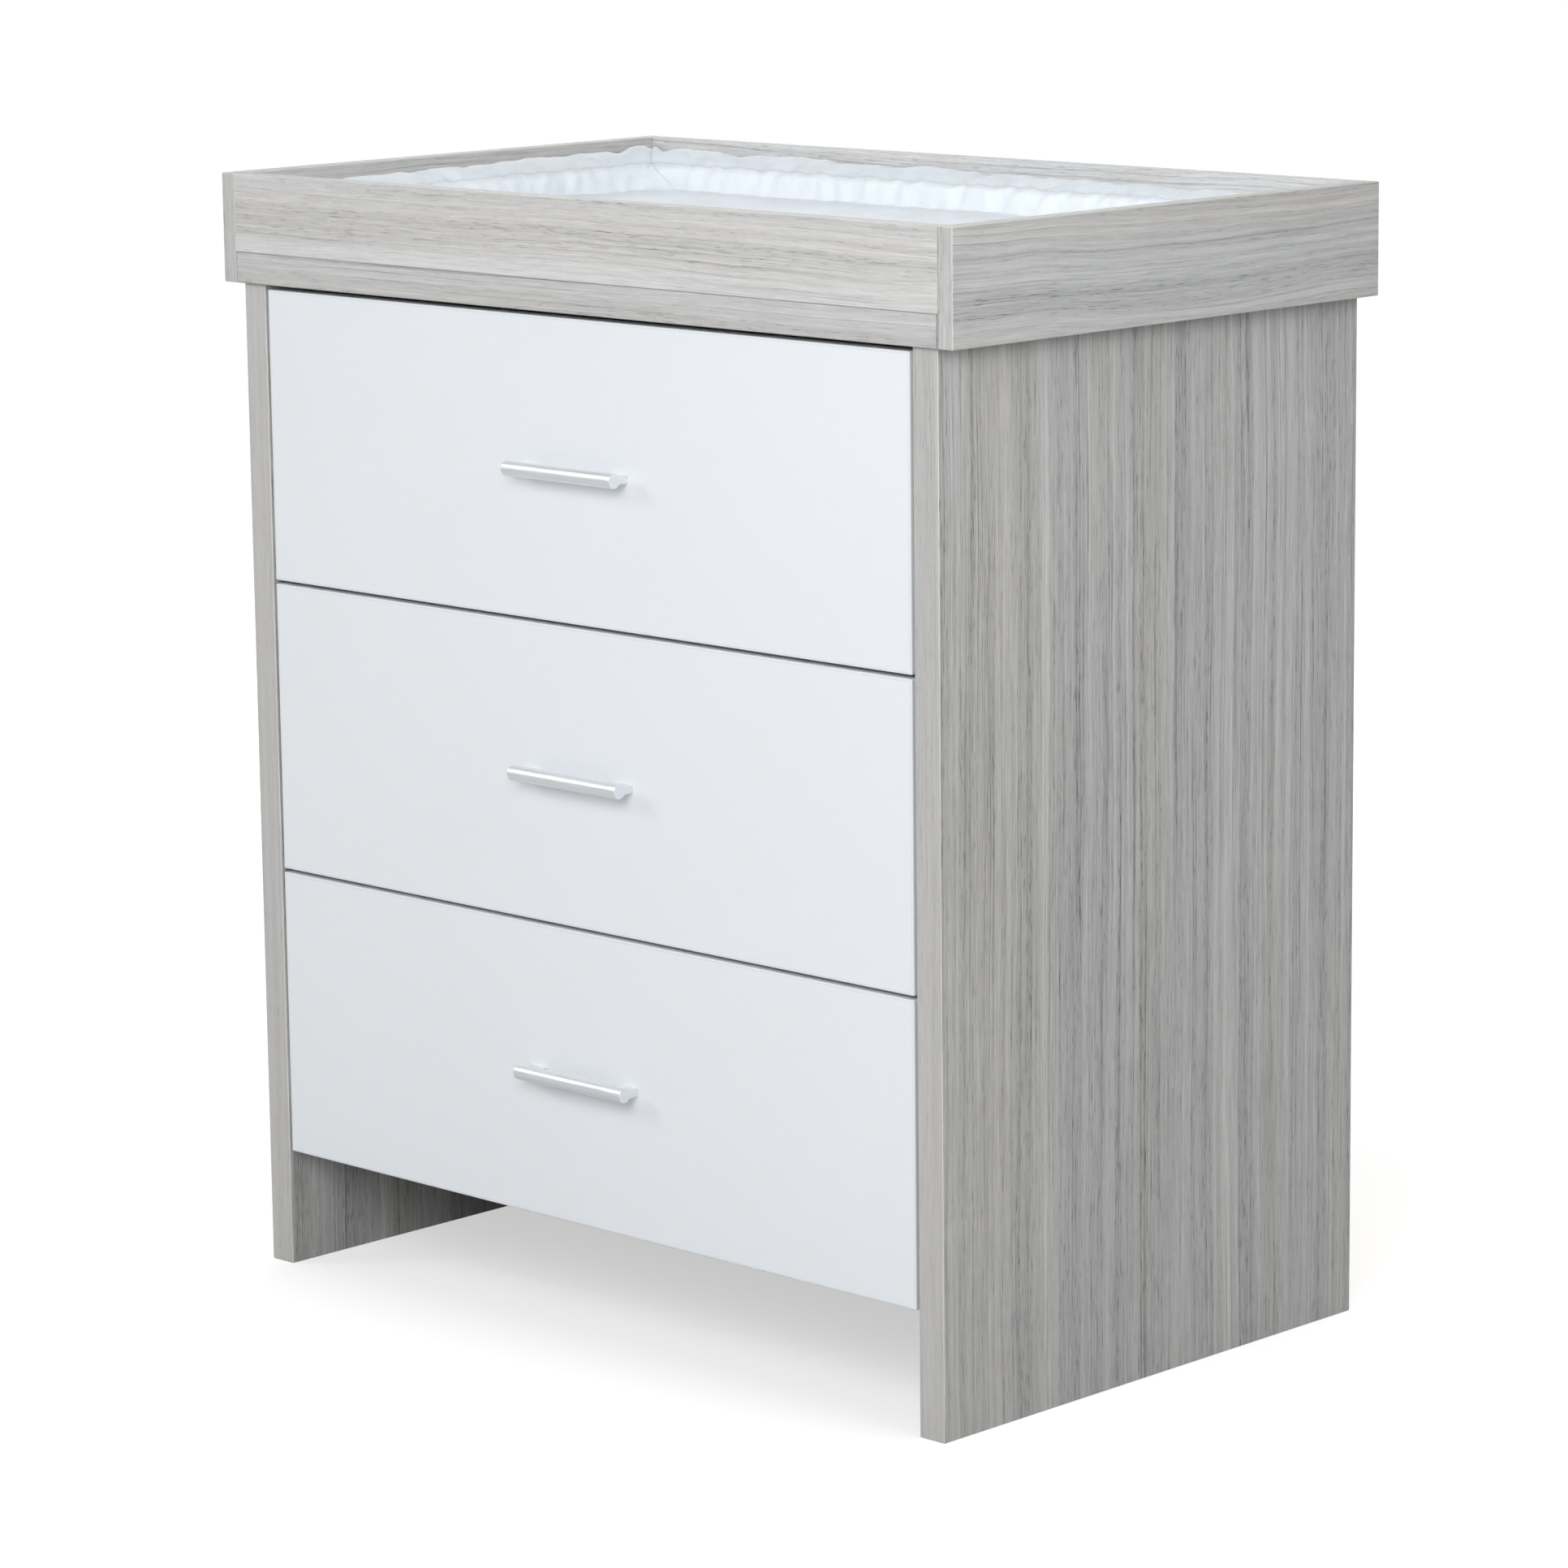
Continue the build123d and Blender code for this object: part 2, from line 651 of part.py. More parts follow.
with BuildPart() as tray_dowels:
    for side in sides.values():
        dowel_x = side * (tray_inner_x + tray_dowel_grip - bore_end_gap / 2 - small_dowel_length / 2)
        spots = [(dowel_x, y, z) for y in tray_middle_ys for z in tray_dowel_zs]
        place(small_dowel, [Plane(spot, z_dir=(1, 0, 0)) for spot in spots])
save(tray_dowels, "tray_dowels")

# ---- Changing mat: a soft base with raised sides, lying on the top panel inside the tray ----------------

mat_x = tray_inner_x - mat_gap
mat_front_y = tray_front_y + tray_board + mat_gap
mat_back_y = tray_back_y - tray_board - mat_gap
mat_bottom = top_surface_z + mat_lift
mat_middle_y = (mat_front_y + mat_back_y) / 2

with BuildPart() as changing_mat:
    board(
        (-mat_x, mat_x),
        (mat_front_y, mat_back_y),
        (mat_bottom, mat_bottom + mat_side),
        mat_radius,
    )
    with BuildSketch(Plane.XY.offset(mat_bottom + mat_base)):
        with Locations((0, mat_middle_y)):
            Rectangle(2 * (mat_x - mat_side_width), mat_back_y - mat_front_y - 2 * mat_side_width)
    extrude(amount=mat_side, taper=-mat_slope, mode=Mode.SUBTRACT)
save(changing_mat, "changing_mat")
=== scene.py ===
import math

import bpy
import numpy as np
from mathutils import Matrix, Vector, noise


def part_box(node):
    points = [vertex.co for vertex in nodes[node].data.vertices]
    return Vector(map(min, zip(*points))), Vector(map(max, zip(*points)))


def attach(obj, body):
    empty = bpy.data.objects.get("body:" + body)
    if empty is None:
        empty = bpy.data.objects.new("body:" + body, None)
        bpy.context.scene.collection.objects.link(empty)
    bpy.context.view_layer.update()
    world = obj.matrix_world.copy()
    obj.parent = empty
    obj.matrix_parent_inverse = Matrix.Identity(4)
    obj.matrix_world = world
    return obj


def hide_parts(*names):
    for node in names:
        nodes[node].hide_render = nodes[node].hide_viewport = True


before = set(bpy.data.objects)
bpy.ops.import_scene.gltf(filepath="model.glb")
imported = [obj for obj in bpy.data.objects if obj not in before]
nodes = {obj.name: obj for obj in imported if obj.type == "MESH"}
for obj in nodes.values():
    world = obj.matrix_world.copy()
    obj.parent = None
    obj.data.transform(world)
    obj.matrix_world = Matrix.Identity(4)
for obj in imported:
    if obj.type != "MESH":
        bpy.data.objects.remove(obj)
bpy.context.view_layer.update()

scene = bpy.context.scene
levels = ("top", "middle", "bottom")


# ---- Node helpers ---------------------------------------------------------------------------


def shade(*colour):
    return (*colour, 1.0)


class Finish:
    """A material and short calls that add its nodes. Lengths are in metres."""

    def __init__(self, name, colour, **shader):
        self.material = bpy.data.materials.new(name)
        self.material.use_nodes = True
        self.material.diffuse_color = shade(*colour)
        self.tree = self.material.node_tree
        self.shader = self.tree.nodes["Principled BSDF"]
        self.set("Base Color", shade(*colour))
        for socket, value in shader.items():
            self.set(socket.title(), value)
        self.place = self.node("ShaderNodeTexCoord").outputs["Object"]
        self.facing = self.node("ShaderNodeNewGeometry").outputs["Normal"]

    def set(self, socket, value):
        self.shader.inputs[socket].default_value = value

    def link(self, socket, value):
        self.tree.links.new(value, self.shader.inputs[socket])

    def node(self, kind, feeds=(), **settings):
        """A new node. feeds are sockets or values for its inputs, in order or by key."""
        made = self.tree.nodes.new(kind)
        for key, value in settings.items():
            setattr(made, key, value)
        for key, value in feeds.items() if isinstance(feeds, dict) else enumerate(feeds):
            if isinstance(value, bpy.types.NodeSocket):
                self.tree.links.new(value, made.inputs[key])
            else:
                made.inputs[key].default_value = value
        return made

    def math(self, operation, *feeds):
        return self.node("ShaderNodeMath", feeds, operation=operation).outputs[0]

    def vector(self, operation, *feeds):
        return self.node("ShaderNodeVectorMath", feeds, operation=operation).outputs[0]

    def split(self, value):
        return self.node("ShaderNodeSeparateXYZ", (value,)).outputs

    def join(self, x, y, z):
        return self.node("ShaderNodeCombineXYZ", (x, y, z)).outputs[0]

    def mix(self, share, one, other):
        feeds = {0: share, 6: one, 7: other}
        return self.node("ShaderNodeMix", feeds, data_type="RGBA").outputs[2]

    def mix_vectors(self, share, one, other):
        feeds = {0: share, 4: one, 5: other}
        return self.node("ShaderNodeMix", feeds, data_type="VECTOR").outputs[1]

    def ramp(self, value, low, high, to_low=0.0, to_high=1.0):
        """Value from low to high taken to to_low to to_high, and held at the ends."""
        return self.node("ShaderNodeMapRange", (value, low, high, to_low, to_high)).outputs[0]

    def swing(self, value, reach=1.0):
        """Noise, which mostly lies between 0.3 and 0.7, spread from -reach to reach."""
        return self.ramp(value, 0.3, 0.7, -reach, reach)

    def noise(self, where, scale, detail=2.0, roughness=0.5, distortion=0.0):
        """Noise from 0 to 1 with marks about 1/scale metres wide."""
        feeds = {"Vector": where, "Scale": scale, "Detail": detail}
        feeds.update({"Roughness": roughness, "Distortion": distortion})
        return self.node("ShaderNodeTexNoise", feeds).outputs[0]

    def grain(self, where, across, along, detail=2.0, roughness=0.5):
        """Noise with marks about 1/across metres wide and 1/along metres long."""
        stretched = self.vector("MULTIPLY", where, (across, across, along))
        return self.noise(stretched, 1, detail, roughness)

    def total(self, *values):
        summed = values[0]
        for value in values[1:]:
            summed = self.math("ADD", summed, value)
        return summed

    def weighed(self, *pairs):
        """Sum of each value times its share."""
        return self.total(*[self.math("MULTIPLY", value, share) for value, share in pairs])

    def tone(self, *pairs):
        """1 plus each value times its share: a factor for the colour."""
        return self.math("ADD", self.weighed(*pairs), 1.0)

    def along(self, run):
        """Object coordinates with the grain's direction last."""
        x, y, z = self.split(self.place)
        order = {"X": (z, y, x), "Y": (x, z, y), "Z": (x, y, z)}
        return self.join(*order[run])

    def colour(self, value):
        self.link("Base Color", value)

    def toned_colour(self, base, tone):
        self.colour(self.node("ShaderNodeVectorMath", {0: base, 3: tone}, operation="SCALE").outputs[0])

    def roughness(self, value):
        self.link("Roughness", value)

    def bump(self, height, distance):
        made = self.node("ShaderNodeBump", {"Height": height, "Distance": distance})
        self.link("Normal", made.outputs[0])


# ---- Finishes -------------------------------------------------------------------------------

FACES_ALONG = 0.7           # share of the normal along an axis above which a face looks that way
ON_ARRIS = (0.8, 0.97)      # greatest share of the normal along any axis, on a rounded edge


def oak(name, run, front_run, light, front_light, seed, waver, contrast, painted_arris_light, calm=0.0):
    """Matt grey oak laminate.

    run is the grain's direction, and front_run that on faces that look along y. light and
    front_light are how pale those faces are, with painted light and shade in them, set per board.
    seed picks a piece of the pattern, waver is the grain's sway in metres and contrast the strength
    of its figure. The arris value is painted light added on rounded edges: a painted highlight
    where it is positive, painted shade where it is negative. calm takes away that share of the
    figure on the front faces and warms their colour, as on an edge band.
    """
    paint = Finish(name, (light, light, light), roughness=0.55)
    paint.set("Specular IOR Level", 0.35)
    x, y, z = [paint.math("ABSOLUTE", part) for part in paint.split(paint.facing)]
    front = paint.math("GREATER_THAN", y, FACES_ALONG)
    where = paint.mix_vectors(front, paint.along(run), paint.along(front_run))
    where = paint.vector("ADD", where, (seed * 0.37, seed * 0.71, seed * 1.3))

    # The grain sways only in the face's plane, so that no line is cut short by the depth.
    slow = paint.grain(where, 5, 2.4, 2)
    quick = paint.grain(where, 26, 13, 1)
    sway = paint.weighed((slow, waver), (quick, waver * 0.08))
    in_front = paint.math("MULTIPLY", sway, front)
    elsewhere = paint.math("SUBTRACT", sway, in_front)
    where = paint.vector("ADD", where, paint.join(in_front, elsewhere, 0.0))

    bands = paint.swing(paint.grain(where, 42, 0.55, 2, 0.55))
    streaks = paint.swing(paint.grain(where, 190, 1.1, 3, 0.65))
    dark_lines = paint.ramp(paint.grain(where, 480, 2.2, 2, 0.7), 0.56, 0.7)
    pale_lines = paint.ramp(paint.grain(where, 340, 2.0, 2, 0.6), 0.58, 0.74)
    fibres = paint.swing(paint.grain(where, 760, 24, 2, 0.6))
    in_dark_bands = paint.ramp(paint.math("ADD", bands, streaks), -1.2, 0.6, 1.3, 0.35)
    pores = paint.ramp(paint.grain(where, 780, 75, 1), 0.57, 0.7)
    pores = paint.math("MULTIPLY", pores, in_dark_bands)
    flecks = paint.ramp(paint.grain(where, 1100, 60, 1), 0.64, 0.76)
    shares = (
        (bands, 0.1),
        (streaks, 0.1),
        (dark_lines, -0.25),
        (pale_lines, 0.12),
        (fibres, 0.1),
        (pores, -0.2),
        (flecks, 0.13),
    )
    figure = paint.weighed(*[(value, share * contrast) for value, share in shares])
    figure = paint.math("MULTIPLY", figure, paint.ramp(front, 0, 1, 1, 1 - calm))
    # Painted light on the rounded edges: a painted highlight, and painted shade where the arris value
    # is negative.
    flatness = paint.math("MAXIMUM", paint.math("MAXIMUM", x, y), z)
    painted_arris = paint.ramp(flatness, *ON_ARRIS, painted_arris_light, 0.0)
    tone = paint.total(figure, 1.0, painted_arris)
    # Paleness by facing, which holds painted light and shade set per board.
    tone = paint.math("MULTIPLY", tone, paint.ramp(front, 0, 1, light, front_light))

    warmth = paint.ramp(paint.grain(where, 20, 0.6, 2), 0.35, 0.65)
    warmth = paint.math("MAXIMUM", warmth, paint.math("MULTIPLY", front, calm * 1.6))
    base = paint.mix(warmth, shade(0.992, 1.0, 1.012), shade(1.014, 1.0, 0.972))
    paint.toned_colour(base, tone)
    paint.roughness(paint.ramp(fibres, -1, 1, 0.48, 0.62))
    paint.bump(paint.weighed((fibres, 0.35), (pores, -1.0), (dark_lines, -0.6)), 0.00012)
    return paint.material


def white_front(name, low, high):
    """Satin white face with a faint glue line where the edge band meets it."""
    edge_band, glue_line, line_half_width = 0.0013, 0.0017, 0.0005
    light = (0.79, 0.82, 0.85)
    paint = Finish(name, light, roughness=0.34)
    paint.set("Specular IOR Level", 0.45)
    x, y, z = paint.split(paint.place)
    inset = paint.math("SUBTRACT", x, low.x)
    for feeds in ((high.x, x), (z, low.z), (high.z, z)):
        inset = paint.math("MINIMUM", inset, paint.math("SUBTRACT", *feeds))
    line = paint.math("COMPARE", inset, glue_line, line_half_width)
    band = paint.math("LESS_THAN", inset, edge_band)
    cloud = paint.swing(paint.noise(paint.place, 3.0))
    dust = paint.swing(paint.noise(paint.place, 260))
    paint.toned_colour(light, paint.tone((cloud, 0.008), (dust, 0.004), (line, -0.07), (band, -0.035)))
    paint.roughness(paint.ramp(paint.noise(paint.place, 40, 3), 0.3, 0.7, 0.3, 0.38))
    paint.bump(paint.noise(paint.place, 700), 0.00003)
    return paint.material


def melamine(name):
    """Pale drawer board: faint linen face and a slightly darker paper edge on top."""
    light = (0.72, 0.725, 0.72)
    paint = Finish(name, light, roughness=0.5)
    top = paint.math("GREATER_THAN", paint.split(paint.facing)[2], FACES_ALONG)
    warp = paint.grain(paint.along("Z"), 900, 30, 1)
    weft = paint.grain(paint.along("Y"), 900, 30, 1)
    weave = paint.ramp(paint.math("ADD", warp, weft), 0.7, 1.3, -1, 1)
    streaks = paint.swing(paint.grain(paint.along("Y"), 120, 4, 3))
    paint.toned_colour(light, paint.tone((weave, 0.025), (streaks, 0.02), (top, -0.08)))
    paint.bump(weave, 0.00006)
    return paint.material


def fibreboard(name, axis, painted_side):
    """Thin hardboard: one painted face, the other brown, fibrous and pressed with a wire mesh."""
    meshes_per_metre = 420.0
    paint = Finish(name, (0.42, 0.3, 0.19), roughness=0.75)
    facing = paint.math("MULTIPLY", paint.split(paint.facing)[axis], painted_side)
    painted = paint.math("GREATER_THAN", facing, 0.5)
    fibres = paint.noise(paint.place, 420, 4, 0.65, 1.5)
    clumps = paint.noise(paint.place, 60, 4, 0.6)
    brown = paint.mix(
        paint.ramp(fibres, 0.35, 0.68), shade(0.24, 0.16, 0.095), shade(0.5, 0.37, 0.24)
    )
    brown = paint.mix(paint.ramp(clumps, 0.4, 0.75, 0, 0.5), brown, shade(0.36, 0.26, 0.17))
    white = paint.mix(paint.ramp(clumps, 0.3, 0.7), shade(0.7, 0.7, 0.69), shade(0.74, 0.745, 0.74))
    paint.colour(paint.mix(painted, brown, white))
    paint.roughness(paint.ramp(painted, 0, 1, 0.8, 0.45))
    mesh = paint.node("ShaderNodeTexChecker", {"Vector": paint.place, "Scale": meshes_per_metre})
    rough = paint.math("ADD", fibres, paint.math("MULTIPLY", mesh.outputs["Fac"], 0.25))
    paint.bump(paint.math("MULTIPLY", rough, paint.math("SUBTRACT", 1.15, painted)), 0.0003)
    return paint.material


def metal(name, colour, rough, across, along, run, depth, wear, metallic=1.0):
    """Bare metal with drawn or brushed marks along run and slightly duller patches."""
    paint = Finish(name, colour, metallic=metallic, roughness=rough)
    marks = paint.swing(paint.grain(paint.along(run), across, along, 3, 0.6))
    patches = paint.ramp(paint.noise(paint.place, 90, 3), 0.35, 0.7)
    worn = shade(*[part * (1 - wear) for part in colour])
    paint.toned_colour(paint.mix(patches, shade(*colour), worn), paint.tone((marks, 0.05)))
    paint.roughness(paint.math("ADD", paint.weighed((marks, 0.06), (patches, 0.08)), rough))
    paint.bump(marks, depth)
    return paint.material


def beech(name):
    """Turned hardwood pegs."""
    paint = Finish(name, (0.62, 0.44, 0.27), roughness=0.6)
    lines = paint.grain(paint.along("X"), 900, 60, 3)
    paint.colour(
        paint.mix(paint.ramp(lines, 0.35, 0.65), shade(0.52, 0.35, 0.2), shade(0.7, 0.52, 0.34))
    )
    paint.bump(lines, 0.0001)
    return paint.material


def coated_cloth(name, low, high, seam_inset, seam_height):
    """Wipe-clean mat cover: tight weave under a soft coating, fine creases and stitched seams.

    One seam runs seam_inset inside the outline and one along each mitred corner outside it, both
    only above seam_height.
    """
    seam_half_width, mitre_half_width = 0.0007, 0.0009
    light, level_painted_shade = (0.85, 0.897, 0.935), (0.832, 0.897, 0.955)
    paint = Finish(name, light, roughness=0.5)
    paint.set("Specular IOR Level", 0.3)
    paint.set("Sheen Weight", 0.04)
    warp = paint.grain(paint.along("X"), 1500, 160, 0)
    weft = paint.grain(paint.along("Y"), 1500, 160, 0)
    weave = paint.ramp(paint.math("ADD", warp, weft), 0.8, 1.2, -1, 1)
    crease = paint.noise(paint.vector("MULTIPLY", paint.place, (1.0, 1.0, 0.4)), 34, 4, 0.55, 0.6)
    ridge = paint.math("ABSOLUTE", paint.math("SUBTRACT", crease, 0.5))
    # Lines along the creases: painted shade in the colour, and grooves in the bump.
    folds = paint.ramp(ridge, 0.0, 0.06, 1, 0)
    cloud = paint.swing(paint.noise(paint.place, 9, 3))

    x, y, z = paint.split(paint.place)
    middle, half = (low + high) / 2, (high - low) / 2
    side_x = paint.math("ABSOLUTE", paint.math("SUBTRACT", x, middle.x))
    side_y = paint.math("ABSOLUTE", paint.math("SUBTRACT", y, middle.y))
    from_x = paint.math("SUBTRACT", half.x, side_x)
    from_y = paint.math("SUBTRACT", half.y, side_y)
    inset = paint.math("MINIMUM", from_x, from_y)
    seam = paint.math("COMPARE", inset, seam_inset, seam_half_width)
    mitre = paint.math("COMPARE", from_x, from_y, mitre_half_width)
    mitre = paint.math("MULTIPLY", mitre, paint.math("LESS_THAN", inset, seam_inset))
    seam = paint.math("MAXIMUM", seam, mitre)
    seam = paint.math("MULTIPLY", seam, paint.math("GREATER_THAN", z, seam_height))
    stitches = paint.ramp(paint.noise(paint.place, 380, 0), 0.35, 0.55, 0.45, 1.0)
    seam = paint.math("MULTIPLY", seam, stitches)

    # Painted shade: level parts are darker and bluer, with broad slanting painted shading of folds
    # where the cover is pulled.
    level = paint.ramp(paint.split(paint.facing)[2], 0.3, 0.8)
    slant = paint.math("MULTIPLY", paint.math("SUBTRACT", x, y), 0.3)
    slanting = paint.join(paint.math("ADD", x, y), slant, z)
    painted_fold_shading = paint.swing(paint.noise(slanting, 24, 2, 0.5, 0.8), 0.03)
    # Painted shade here: the level parts, the slanting fold marks and the crease lines.
    tone = paint.tone(
        (weave, 0.012),
        (cloud, 0.01),
        (folds, -0.02),
        (seam, -0.09),
        (painted_fold_shading, level),
        (level, -0.13),
    )
    paint.toned_colour(paint.mix(level, shade(*light), shade(*level_painted_shade)), tone)
    paint.roughness(paint.ramp(crease, 0.3, 0.7, 0.46, 0.58))
    paint.bump(paint.weighed((weave, 0.06), (crease, 1.0), (folds, -0.12), (seam, -0.5)), 0.0012)
    return paint.material


# ---- Which node has which finish ------------------------------------------------------------


def dress(names, material):
    for name in names:
        mesh = nodes[name].data
        mesh.materials.clear()
        mesh.materials.append(material)


def ending(*ends):
    return [name for name in nodes if name.endswith(ends)]


# The arris values paint light on the rounded edges: painted highlights, and painted shade along the top
# panel's edges that darkens its seam with the tray boards.
side_look = {"run": "Z", "front_run": "Z", "waver": 0.012, "contrast": 1.35, "painted_arris_light": 0.42}
tray_side_look = {"run": "Y", "front_run": "Z", "waver": 0.03, "contrast": 1.05, "painted_arris_light": 0.25}
tray_end_look = {"run": "X", "front_run": "X", "waver": 0.024, "contrast": 1.0, "painted_arris_light": 0.1}
top_look = {"run": "X", "front_run": "X", "waver": 0.006, "contrast": 1.0, "painted_arris_light": -0.45}
base_look = {"run": "X", "front_run": "X", "waver": 0.012, "contrast": 1.0, "painted_arris_light": 0.1}
# The paleness columns hold painted light and shade: the left and right boards of one laminate get
# different paleness, and the tray's back board is paler in front, on its inner face.
boards = (
    # node, material, how pale, how pale in front, seed, look
    ("side_panel_left", "oak_side_left", 0.49, 0.5, 3, {**side_look, "calm": 0.6}),
    ("side_panel_right", "oak_side_right", 0.445, 0.478, 4, {**side_look, "calm": 0.6}),
    ("tray_board_left", "oak_tray_left", 0.53, 0.49, 11, tray_side_look),
    ("tray_board_right", "oak_tray_right", 0.475, 0.49, 12, tray_side_look),
    ("tray_board_front", "oak_tray_front", 0.56, 0.56, 21, tray_end_look),
    ("tray_board_back", "oak_tray_back", 0.56, 0.68, 22, tray_end_look),
    ("top_panel", "oak_top", 0.5, 0.495, 31, top_look),
    ("base_panel", "oak_base", 0.46, 0.5, 37, base_look),
)
for node, name, light, front_light, seed, look in boards:
    dress([node], oak(name, light=light, front_light=front_light, seed=seed, **look))

for level in levels:
    front = f"drawer_{level}_front"
    dress([front], white_front(f"white_front_{level}", *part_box(front)))
box_parts = ("side_left", "side_right", "back")
box_boards = [f"drawer_{level}_{part}" for level in levels for part in box_parts]
dress(box_boards, melamine("drawer_melamine"))
dress([f"drawer_{level}_bottom" for level in levels], fibreboard("drawer_sheet", 2, 1))
dress(["back_panel"], fibreboard("back_sheet", 1, -1))
dress(ending("_dowels"), beech("beech_pegs"))

handles = [f"handle_{level}" for level in levels]
runners = [name for name in nodes if "runner" in name and not name.endswith("_screws")]
metals = (
    # nodes, material, colour, roughness, marks across and along, run, depth, wear, metallic
    (handles, "satin_aluminium", (0.87, 0.895, 0.92), 0.45, 1600, 22, "X", 0.00002, 0.02, 0.9),
    (ending("_screws", "_cam_bolts", "_pins"), "zinc_steel",
     (0.62, 0.63, 0.64), 0.3, 900, 200, "Z", 0.00002, 0.12, 1.0),
    (ending("_cam_locks"), "die_cast_zinc", (0.5, 0.5, 0.51), 0.5, 500, 400, "Z", 0.00008, 0.2, 1.0),
    (runners, "runner_steel", (0.55, 0.56, 0.58), 0.34, 700, 8, "Y", 0.00002, 0.1, 1.0),
    (ending("_ball_cages"), "ball_steel", (0.7, 0.7, 0.72), 0.22, 500, 60, "Y", 0.00001, 0.15, 1.0),
)
for names, *look in metals:
    dress(names, metal(*look))


# ---- Changing mat ---------------------------------------------------------------------------

mat_low, mat_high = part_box("changing_mat")
mat_half_x = (mat_high.x - mat_low.x) / 2
mat_half_y = (mat_high.y - mat_low.y) / 2
mat_middle_y = (mat_low.y + mat_high.y) / 2
rim = 0.057                 # width of the raised sides
step = 0.0058               # spacing of the mesh
base_z = mat_low.z + 0.0235
seam_z = mat_low.z + 0.0455
crown_z = mat_high.z - 0.0012
foot_z = mat_low.z + 0.0006
shell = 0.0008              # the sewn shape starts this much inside the finished mat
TOP_CAP, BOTTOM_CAP = -1, -2
BASE_SEAM, TOP_SEAM, UNDERSIDE = 0, 2, 7    # corners of the profile


def profile():
    """Half section from the base seam up over the side and under to the same place below.

    Gives points of inset and height, and the index of the point at each corner.
    """
    corners = [
        (rim, base_z),
        (rim - 0.0035, seam_z - 0.002),
        (rim - 0.006, seam_z),
        (rim * 0.62, crown_z),
        (rim * 0.3, crown_z + 0.0004),
        (0.006, crown_z - 0.004),
        (0.0, crown_z - 0.011),
        (0.0, foot_z + 0.006),
        (0.004, foot_z),
        (rim, foot_z),
    ]
    points, at_corner = [], []
    for (o0, z0), (o1, z1) in zip(corners, corners[1:]):
        count = max(1, round(math.hypot(o1 - o0, z1 - z0) / step))
        at_corner.append(len(points))
        points += [(o0 + (o1 - o0) * i / count, z0 + (z1 - z0) * i / count) for i in range(count)]
    at_corner.append(len(points))
    points.append(corners[-1])
    return points, at_corner


def cell_ring(across, up):
    """Grid cells (i, j) round a grid's edge, counter-clockwise from its front left corner."""
    return (
        [(i, 0) for i in range(across)]
        + [(across, j) for j in range(up)]
        + [(i, up) for i in range(across, 0, -1)]
        + [(0, j) for j in range(up, 0, -1)]
    )


def build_mat():
    """Closed quad mesh: rings round the profile, and a grid across its inside above and below.

    Also gives each vertex's place on the profile, or its cap, and the profile's corners.
    """
    half_x, half_y = mat_half_x - shell, mat_half_y - shell
    across = round(2 * (half_x - rim) / step)
    up = round(2 * (half_y - rim) / step)
    points, at_corner = profile()
    cells = cell_ring(across, up)
    around = len(cells)

    def grid_lines(inset):
        to_x, to_y = half_x - inset, half_y - inset
        xs = np.linspace(-to_x, to_x, across + 1)
        ys = np.linspace(mat_middle_y - to_y, mat_middle_y + to_y, up + 1)
        return xs, ys

    vertices, faces, kinds = [], [], []
    for index, (inset, z) in enumerate(points):
        xs, ys = grid_lines(inset)
        vertices += [(xs[i], ys[j], z) for i, j in cells]
        kinds += [index] * around
    for lower in range(0, (len(points) - 1) * around, around):
        upper = lower + around
        for i in range(around):
            j = (i + 1) % around
            faces.append((upper + i, upper + j, lower + j, lower + i))
    xs, ys = grid_lines(rim)
    for first, z, kind in ((0, base_z, TOP_CAP), ((len(points) - 1) * around, foot_z, BOTTOM_CAP)):
        number = {cell: first + k for k, cell in enumerate(cells)}
        for j in range(1, up):
            for i in range(1, across):
                number[(i, j)] = len(vertices)
                vertices.append((xs[i], ys[j], z))
                kinds.append(kind)
        for j in range(up):
            for i in range(across):
                quad = [number[cell] for cell in ((i, j), (i + 1, j), (i + 1, j + 1), (i, j + 1))]
                faces.append(quad if kind == TOP_CAP else quad[::-1])
    mesh = bpy.data.meshes.new("mat_cover")
    mesh.from_pydata(vertices, [], faces)
    mesh.update()
    piece = bpy.data.objects.new("changing_mat_cover", mesh)
    scene.collection.objects.link(piece)
    return piece, np.array(kinds), at_corner


def coordinates(mesh):
    flat = np.empty(len(mesh.vertices) * 3)
    mesh.vertices.foreach_get("co", flat)
    return flat.reshape(-1, 3)


def put(mesh, points):
    mesh.vertices.foreach_set("co", np.ascontiguousarray(points, dtype=np.float32).ravel())
    mesh.update()


def wave(points, scale, offset):
    """Smooth noise from -1 to 1 at points, with marks about 1/scale metres apart."""
    shift = Vector((offset, offset * 2.3, offset * 3.1))
    return np.array([noise.noise(Vector(p) * scale + shift) for p in points])


